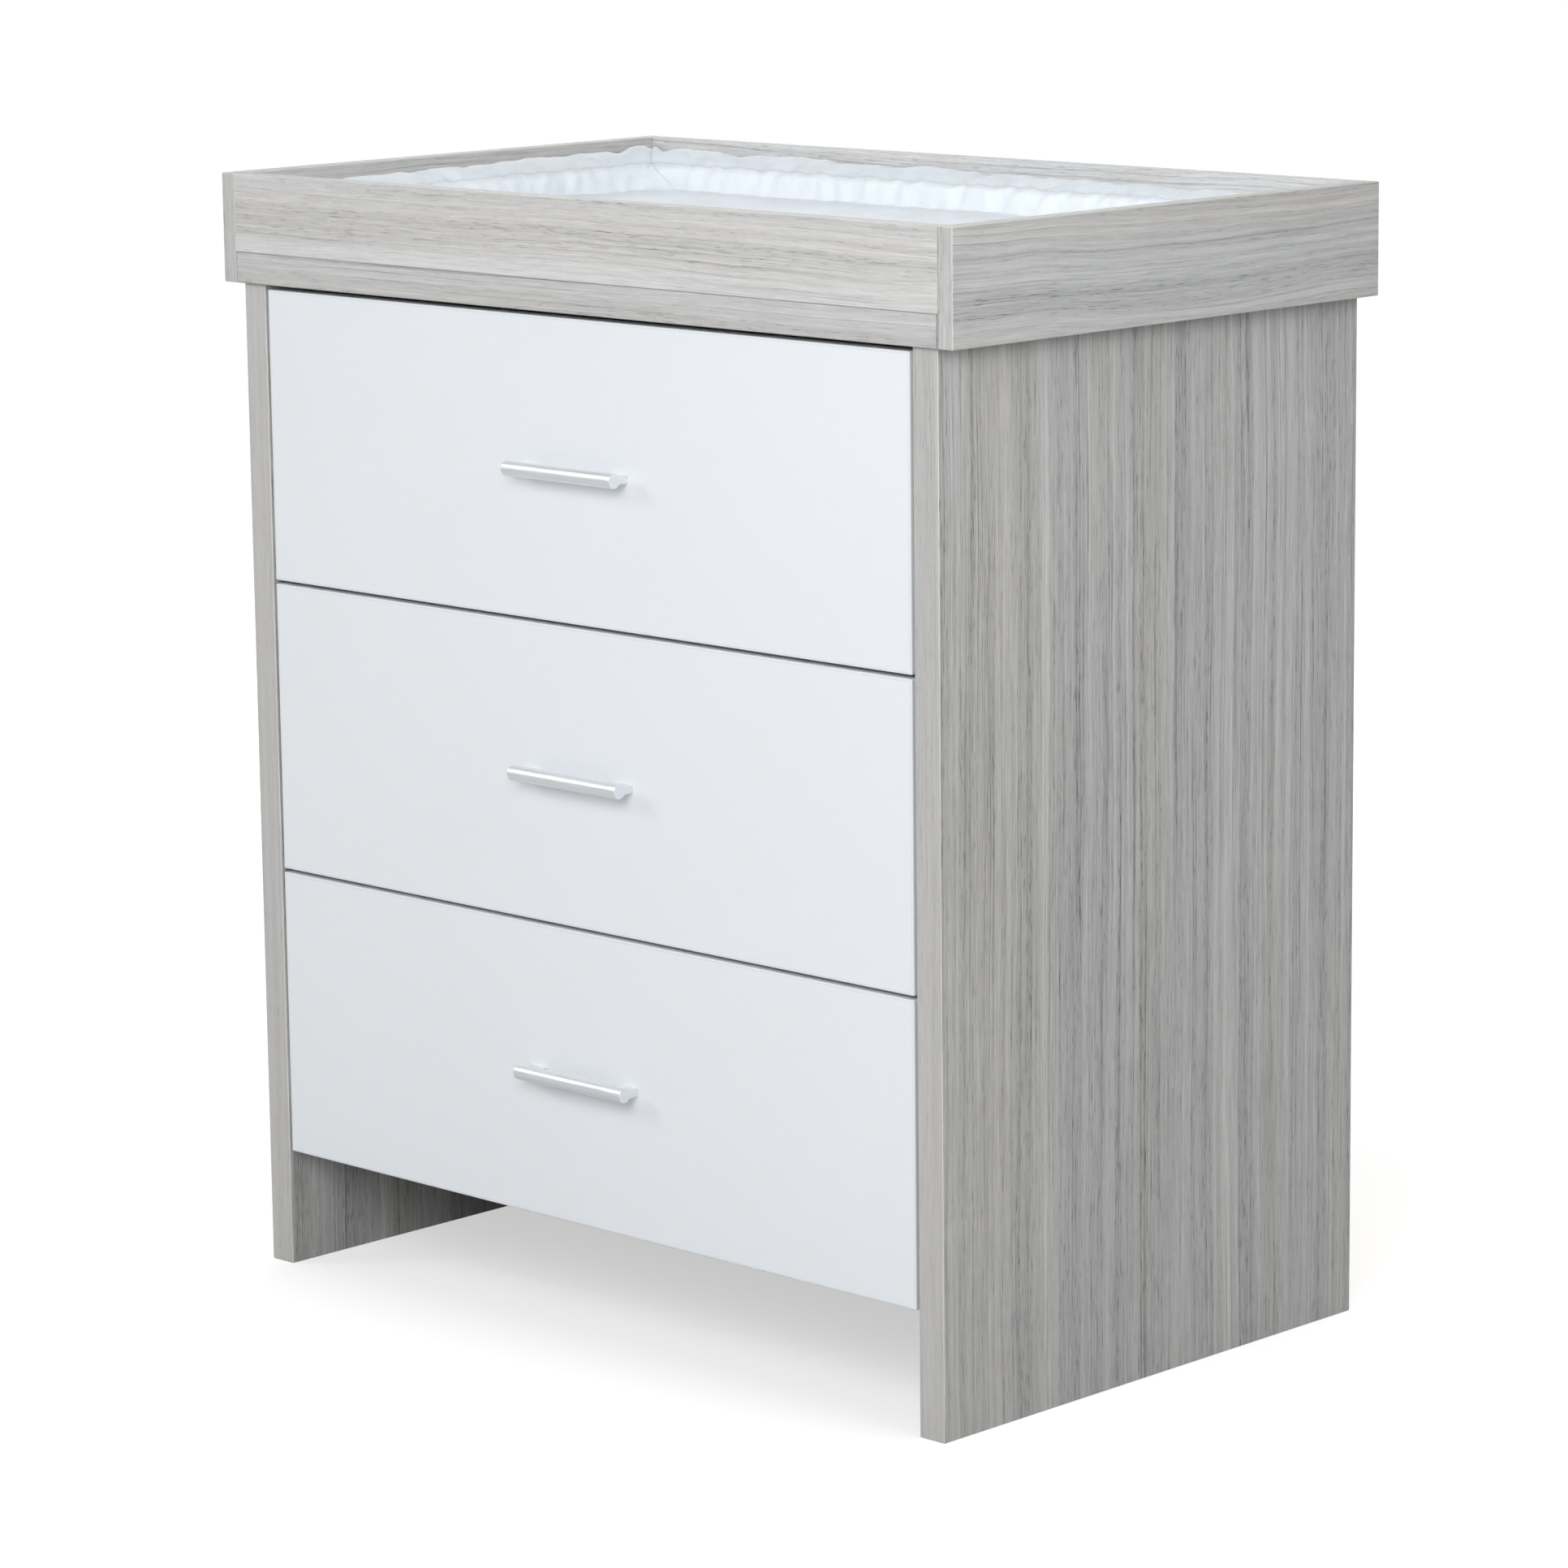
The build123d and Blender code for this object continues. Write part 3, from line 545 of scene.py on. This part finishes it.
def puff(piece, kinds, at_corner):
    """Swells the cover by the filling's pressure, held along its seams and underside."""
    last_frame, cap = 20, 0.0045
    top_seam_hold, full_hold = 0.8, 1.0
    weight = np.zeros(len(kinds))
    weight[kinds == at_corner[BASE_SEAM]] = full_hold
    weight[kinds == at_corner[TOP_SEAM]] = top_seam_hold
    weight[kinds >= at_corner[UNDERSIDE]] = full_hold
    weight[kinds == BOTTOM_CAP] = full_hold
    held = piece.vertex_groups.new(name="held")
    for value in (top_seam_hold, full_hold):
        held.add(np.nonzero(weight == value)[0].tolist(), value, "REPLACE")
    cloth = piece.modifiers.new("Cloth", "CLOTH")
    settings = cloth.settings
    settings.quality = 5
    settings.mass = 0.3
    settings.tension_stiffness = 12
    settings.compression_stiffness = 12
    settings.shear_stiffness = 4
    settings.bending_stiffness = 0.4
    settings.shrink_min = -0.03
    settings.vertex_group_mass = "held"
    settings.pin_stiffness = 1.0
    settings.use_pressure = True
    settings.uniform_pressure_force = 4
    settings.effector_weights.gravity = 0
    cloth.collision_settings.use_collision = False
    start = coordinates(piece.data)
    for number in range(1, last_frame + 1):
        scene.frame_set(number)
    evaluated = piece.evaluated_get(bpy.context.evaluated_depsgraph_get())
    moved = coordinates(evaluated.data) - start
    piece.modifiers.remove(cloth)
    scene.frame_set(1)
    length = np.linalg.norm(moved, axis=1)
    print("mat swelled by", round(float(length.max()) * 1000, 1), "mm at most,",
          round(float(length.mean()) * 1000, 2), "mm on average, before the cap")
    share = np.where(length > cap, cap / np.maximum(length, 1e-9), 1.0)
    put(piece.data, start + moved * share[:, None])


def subdivided(piece):
    """The piece's mesh with one level of subdivision."""
    subdivide = piece.modifiers.new("Subdivision", "SUBSURF")
    subdivide.levels = 1
    subdivide.render_levels = 1
    evaluated = piece.evaluated_get(bpy.context.evaluated_depsgraph_get())
    mesh = bpy.data.meshes.new_from_object(evaluated)
    piece.modifiers.remove(subdivide)
    mesh.name = "changing_mat_cover"
    return mesh


def share_of(value, low, high):
    """0 where value is low, 1 where it is high, straight between and held beyond."""
    return np.clip((value - low) / (high - low), 0, 1)


def drape(points):
    """Moves points in place: ripples, gathers, mitred corners, lifted corners and creases."""
    # How deep each kind of mark goes, in metres.
    long_ripple, fine_ripple, slanting_ripple = 0.0009, 0.0004, 0.0013
    end_scallop, side_scallop = 0.0022, 0.0014
    corner_rise, corner_peak, mitre_groove = 0.0055, 0.002, 0.0032
    gather, fan_fold, base_swell = 0.0019, 0.0022, 0.0012
    base_crease, corner_crease = 0.0008, 0.0046
    # How far along x and y the base takes to come down from the seam beside a corner.
    tuck_along, tuck_across = 0.034, 0.014

    x, y, z = points.T       # views, so that a change to one moves the points
    from_x = mat_half_x - np.abs(x)
    from_y = mat_half_y - np.abs(y - mat_middle_y)
    inset = np.minimum(from_x, from_y)
    on_end = from_x < from_y
    upper = share_of(z, mat_low.z + 0.012, mat_low.z + 0.022)
    on_rim = share_of(rim - inset, 0.0, 0.008)
    loose = share_of(rim - inset, 0.003, 0.015)

    # The sides' tops ripple, and their outer edge waves where it leans on the boards.
    ripple = wave(points * [1, 1, 0.3], 42, 1.0) * long_ripple
    ripple += wave(points, 120, 2.0) * fine_ripple
    slanted = np.stack([x + y, (x - y) * 0.2, np.zeros(len(points))], axis=1)
    ripple += wave(slanted, 34, 11.0) * slanting_ripple
    outer = share_of(0.024 - inset, 0.0, 0.018)
    scallop = wave(points * [1, 1, 0], 19, 7.0) * np.where(on_end, end_scallop, side_scallop)
    z += upper * (loose * ripple + outer * scallop)

    # The filling pushes the back left corner up, and the sides slope down from it.
    leftness = 1 - share_of(x, mat_low.x, mat_low.x + 0.62)
    backness = share_of(y, mat_high.y - 0.42, mat_high.y)
    z += upper * loose * leftness * backness * corner_rise

    # Gathers in the inner faces, a groove where the sides meet at each corner.
    height = share_of(z, base_z, seam_z)
    pleat = wave(points * [1, 1, 0.12], 84, 5.0) * gather * (0.45 + 0.55 * height)
    wall = np.clip(1.15 - np.abs(inset - rim + 0.003) / 0.009, 0, 1) * upper
    x -= np.sign(x) * on_end * wall * pleat
    y -= np.sign(y - mat_middle_y) * ~on_end * wall * pleat
    mitre = np.exp(-(((from_x - from_y) / 0.0035) ** 2))
    z -= mitre * on_rim * upper * mitre_groove

    # The base lifts into each corner, with folds fanning out from it.
    corner_x, corner_y = from_x - rim, from_y - rim
    reach = np.hypot(corner_x, corner_y)
    turn = np.arctan2(corner_y, corner_x)
    spread = np.clip(corner_x, 0, None) / tuck_along + np.clip(corner_y, 0, None) / tuck_across
    tuck = base_z + (seam_z - base_z) * (1 - spread)
    near = (inset > rim - 0.006) & (upper > 0.5) & (tuck > z)
    z[near] = tuck[near]
    in_base = share_of(inset, rim, rim + 0.012) * upper
    which = (x > 0) * 1.7 + (y > mat_middle_y) * 2.9     # a different pattern in each corner
    ring = np.exp(-reach / 0.06) * (1 - np.exp(-((reach / 0.012) ** 2)))
    fan = np.sin(turn * 11 + which) * ring * fan_fold
    diagonal = np.stack([(x + y) * 0.35, x - y, which], axis=1)
    creases = wave(diagonal, 22, 3.0) * (base_crease + corner_crease * np.exp(-reach / 0.14))
    z += in_base * (fan + creases + wave(points * [1, 1, 0], 11, 9.0) * base_swell)
    peak = np.exp(-(((np.hypot(from_x, from_y) - 0.025) / 0.03) ** 2))
    peak *= np.where(from_y < from_x, 1.0, 0.4)
    z += upper * on_rim * peak * corner_peak

    bulge = 0.001            # how far the cloth may stand out past the CAD's outline
    np.clip(x, mat_low.x - bulge, mat_high.x + bulge, out=x)
    np.clip(y, mat_low.y - bulge, mat_high.y + bulge, out=y)
    np.clip(z, mat_low.z, None, out=z)


mat, mat_kinds, mat_corners = build_mat()
mat_points = coordinates(mat.data)
mat_points[:, 2] += wave(mat_points, 60, 4.0) * 0.0006 * (mat_kinds != BOTTOM_CAP)
put(mat.data, mat_points)
puff(mat, mat_kinds, mat_corners)
mat.data = subdivided(mat)
mat_points = coordinates(mat.data)
drape(mat_points)
put(mat.data, mat_points)
mat.data.shade_smooth()
mat.data.materials.clear()
mat.data.materials.append(
    coated_cloth("mat_coated_cloth", mat_low, mat_high, rim - 0.0065, seam_z - 0.006)
)
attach(mat, "changing_mat")
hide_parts("changing_mat")


# ---- Floor, light and camera ----------------------------------------------------------------


def make_floor():
    """White studio floor: it takes real shadow, and its glow for the camera is dimmer near the
    furniture as a painted shadow and white away from it.
    """
    size = 60.0
    mesh = bpy.data.meshes.new("studio_floor")
    corners = [(-size, -size, 0), (size, -size, 0), (size, size, 0), (-size, size, 0)]
    mesh.from_pydata(corners, [], [(0, 1, 2, 3)])
    floor = bpy.data.objects.new("studio_floor", mesh)
    scene.collection.objects.link(floor)
    paint = Finish("studio_floor", (0.56, 0.56, 0.56), roughness=0.9)
    paint.set("Specular IOR Level", 0.1)
    paint.set("Emission Color", shade(1, 1, 1))
    seen = paint.node("ShaderNodeLightPath").outputs["Is Camera Ray"]
    away = paint.node("ShaderNodeVectorMath", (paint.place,), operation="LENGTH").outputs[1]
    # Painted shadow: the glow the camera sees is dimmer near the furniture.
    glow_with_painted_shadow = paint.ramp(away, 0.3, 1.8, 0.54, 0.67)
    paint.link("Emission Strength", paint.math("MULTIPLY", seen, glow_with_painted_shadow))
    mottle = paint.ramp(paint.noise(paint.place, 2.0, 3), 0.3, 0.7)
    paint.colour(paint.mix(mottle, shade(0.555, 0.555, 0.555), shade(0.565, 0.565, 0.565)))
    mesh.materials.append(paint.material)


def add_light(name, kind, power, matrix, **settings):
    light = bpy.data.lights.new(name, kind)
    light.energy = power
    for key, value in settings.items():
        setattr(light, key, value)
    lamp = bpy.data.objects.new(name, light)
    scene.collection.objects.link(lamp)
    lamp.matrix_world = matrix


def add_area(name, place, target, size, power):
    aim = (Vector(target) - Vector(place)).to_track_quat("-Z", "Y").to_matrix().to_4x4()
    shape = {"shape": "RECTANGLE", "size": size[0], "size_y": size[1]}
    add_light(name, "AREA", power, Matrix.Translation(place) @ aim, **shape)


def add_sun(name, come_from, strength, spread):
    aim = Vector(come_from).to_track_quat("Z", "Y").to_matrix().to_4x4()
    add_light(name, "SUN", strength, aim, angle=math.radians(spread))


def add_world(strength):
    world = bpy.data.worlds.new("studio")
    scene.world = world
    world.use_nodes = True
    background = world.node_tree.nodes["Background"]
    background.inputs["Color"].default_value = shade(1, 1, 1)
    background.inputs["Strength"].default_value = strength


def add_camera(place, heading, below_level, roll, lens):
    """Camera at place. heading turns it anticlockwise from looking along +y. Angles in degrees."""
    data = bpy.data.cameras.new("camera")
    data.sensor_width = 36
    data.lens = lens
    data.clip_end = 200
    camera = bpy.data.objects.new("camera", data)
    scene.collection.objects.link(camera)
    turn = Matrix.Identity(4)
    for angle, axis in ((heading, "Z"), (90 - below_level, "X"), (roll, "Z")):
        turn = turn @ Matrix.Rotation(math.radians(angle), 4, axis)
    camera.matrix_world = Matrix.Translation(place) @ turn
    scene.camera = camera


make_floor()
add_world(0.34)
add_sun("top_light", (-0.05, 0.4, 1.0), 0.92, 60)
add_area("front_fill", (1.35, -2.5, 1.75), (0, -0.2, 0.55), (2.0, 1.4), 51)
add_area("left_key", (-2.5, -2.2, 2.1), (0, -0.2, 0.6), (1.2, 1.0), 24)
add_area("side_fill", (1.7, -0.1, 1.42), (0.4, 0, 0.95), (1.0, 0.8), 6.6)
add_area("back_fill", (-2.4, 2.6, 1.5), (0, 0, 0.5), (1.6, 1.4), 22)
add_camera((3.1014, -3.1661, 1.2651), heading=44.44, below_level=10.83, roll=-0.66, lens=129.07)
scene.view_settings.view_transform = "Standard"
